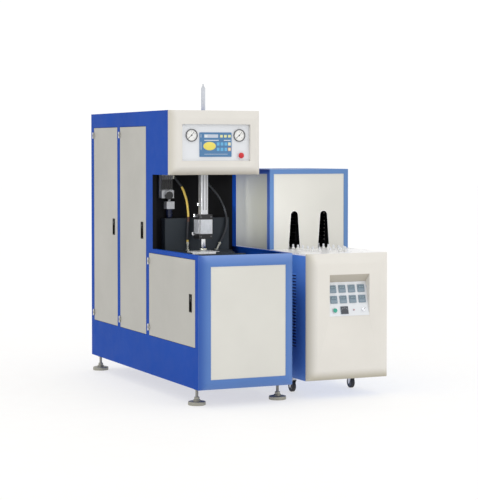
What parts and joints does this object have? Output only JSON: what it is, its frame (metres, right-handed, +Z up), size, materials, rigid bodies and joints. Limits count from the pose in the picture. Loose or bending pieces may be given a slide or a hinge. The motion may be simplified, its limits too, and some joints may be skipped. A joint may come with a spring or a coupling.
{
  "type": "blow moulding machine",
  "caption": "Semi-automatic stretch blow moulding machine for plastic bottles, with an open blowing bay under an overhanging control head and a separate preform oven on castors",
  "frame": {"origin": "on the floor, under the middle of the blower and the oven together", "axes": "+X to the right seen from the front, +Y from the front to the rear, +Z up"},
  "size_m": [1.446, 2.158, 2.153],
  "materials": {
    "blue_paint": "satin",
    "light_blue_paint": "satin",
    "beige_paint": "satin",
    "grey_paint": "satin",
    "cream_panel": "satin",
    "cream_moulding": "satin",
    "white_plate": "satin",
    "dark_sheet": "satin",
    "slate_sheet": "satin",
    "zinc": "satin",
    "foot_metal": "satin",
    "aluminium": "brushed",
    "chrome": "polished",
    "steel": "ground",
    "black_plastic": "matte",
    "dark_cap": "satin",
    "gauge": "satin",
    "display": "satin",
    "red_plastic": "satin",
    "green_plastic": "satin",
    "grey_plastic": "satin",
    "yellow_hose": "satin",
    "black_hose": "satin",
    "lamp": "clear",
    "holder_plastic": "satin",
    "wheel_rubber": "satin"
  },
  "bodies": {
    "machine": {"tall_side_left": "blue_paint", "low_side_left": "blue_paint", "right_side": "blue_paint", "roof_sheet": "blue_paint", "rear_sheet": "blue_paint", "base_frame": "blue_paint", "bay_lining": "dark_sheet", "front_moulding": "light_blue_paint", "front_panel": "cream_panel", "head_moulding": "cream_moulding", "operator_panel": "white_plate", "pressure_gauges": "gauge", "display_unit": "display", "hinge_halves": "zinc", "foot_pads": "foot_metal", "foot_studs": "zinc", "stretch_cylinder": "aluminium", "seal_cylinder": "aluminium", "seal_caps": "dark_cap", "mould_rear": "aluminium", "clamp_cylinder": "steel", "clamp_frame": "steel", "clamp_bed": "steel", "clamp_guard": "slate_sheet", "valve_bank": "aluminium", "hose_unions": "zinc", "air_hose_yellow": "yellow_hose", "air_hose_black": "black_hose", "electric_plate": "zinc", "oven_cabinet": "blue_paint", "oven_moulding": "cream_moulding", "control_panel": "white_plate", "controllers": "grey_plastic", "table_top": "cream_moulding", "preform_holders": "holder_plastic", "hood_frame": "light_blue_paint", "hood_mouths": "cream_panel", "hood_sides": "grey_paint", "lamp_banks": "lamp", "castor_mounts": "zinc"},
    "rear_door": {"rear_door": "beige_paint", "rear_door_handle": "black_plastic"},
    "middle_door": {"middle_door": "beige_paint", "middle_door_handle": "black_plastic"},
    "low_door": {"low_door": "beige_paint", "low_door_handle": "black_plastic"},
    "stop_button": {"stop_button": "red_plastic"},
    "stretch_rod": {"stretch_rod": "chrome"},
    "seal_rod": {"seal_rod": "chrome"},
    "moving_clamp": {"moving_platen": "steel", "mould_front": "aluminium", "clamp_rod": "chrome"},
    "start_button": {"start_button": "green_plastic"},
    "selector_knob": {"selector_knob": "black_plastic"},
    "castor_fork_left": {"castor_fork_left": "dark_cap"},
    "castor_fork_right": {"castor_fork_right": "dark_cap"},
    "castor_wheel_front_left": {"castor_wheel_front_left": "wheel_rubber"},
    "castor_wheel_front_right": {"castor_wheel_front_right": "wheel_rubber"},
    "castor_wheel_rear_left": {"castor_wheel_rear_left": "wheel_rubber"},
    "castor_wheel_rear_right": {"castor_wheel_rear_right": "wheel_rubber"}
  },
  "joints": [
    {"name": "rear_door_hinge", "type": "hinge", "parent": "machine", "child": "rear_door", "pos_m": [-0.723, 1.0135, 1.1235], "axis": [0, 0, -1], "range_deg": [0, 115]},
    {"name": "middle_door_hinge", "type": "hinge", "parent": "machine", "child": "middle_door", "pos_m": [-0.723, 0.4405, 1.1235], "axis": [0, 0, -1], "range_deg": [0, 115]},
    {"name": "low_door_hinge", "type": "hinge", "parent": "machine", "child": "low_door", "pos_m": [-0.723, -0.1425, 0.679], "axis": [0, 0, -1], "range_deg": [0, 115]},
    {"name": "stop_push", "type": "slide", "parent": "machine", "child": "stop_button", "axis": [0, 1, 0], "range_m": [0, 0.004]},
    {"name": "stretch_stroke", "type": "slide", "parent": "machine", "child": "stretch_rod", "axis": [0, 0, -1], "range_m": [0, 0.25]},
    {"name": "seal_stroke", "type": "slide", "parent": "machine", "child": "seal_rod", "axis": [0, 0, -1], "range_m": [0, 0.012]},
    {"name": "clamp_opening", "type": "slide", "parent": "machine", "child": "moving_clamp", "axis": [0, -1, 0], "range_m": [0, 0.12]},
    {"name": "start_push", "type": "slide", "parent": "machine", "child": "start_button", "axis": [0, 0.9682, -0.2501], "range_m": [0, 0.003], "stiffness_N_per_m": 400},
    {"name": "selector_turn", "type": "hinge", "parent": "machine", "child": "selector_knob", "pos_m": [0.5115, -1.0279, 0.5991], "axis": [0, -0.9682, 0.2501], "range_deg": [-45, 45]},
    {"name": "castor_swivel_left", "type": "hinge", "parent": "machine", "child": "castor_fork_left", "pos_m": [0.169, -0.648, 0.11], "axis": [0, 0, 1], "continuous": true},
    {"name": "castor_swivel_right", "type": "hinge", "parent": "machine", "child": "castor_fork_right", "pos_m": [0.635, -0.648, 0.11], "axis": [0, 0, 1], "continuous": true},
    {"name": "castor_roll_front_left", "type": "hinge", "parent": "castor_fork_left", "child": "castor_wheel_front_left", "pos_m": [0.169, -0.624, 0.04], "axis": [1, 0, 0], "continuous": true},
    {"name": "castor_roll_front_right", "type": "hinge", "parent": "castor_fork_right", "child": "castor_wheel_front_right", "pos_m": [0.635, -0.624, 0.04], "axis": [1, 0, 0], "continuous": true},
    {"name": "castor_roll_rear_left", "type": "hinge", "parent": "machine", "child": "castor_wheel_rear_left", "pos_m": [0.169, 0.106, 0.04], "axis": [1, 0, 0], "continuous": true},
    {"name": "castor_roll_rear_right", "type": "hinge", "parent": "machine", "child": "castor_wheel_rear_right", "pos_m": [0.635, 0.106, 0.04], "axis": [1, 0, 0], "continuous": true}
  ]
}
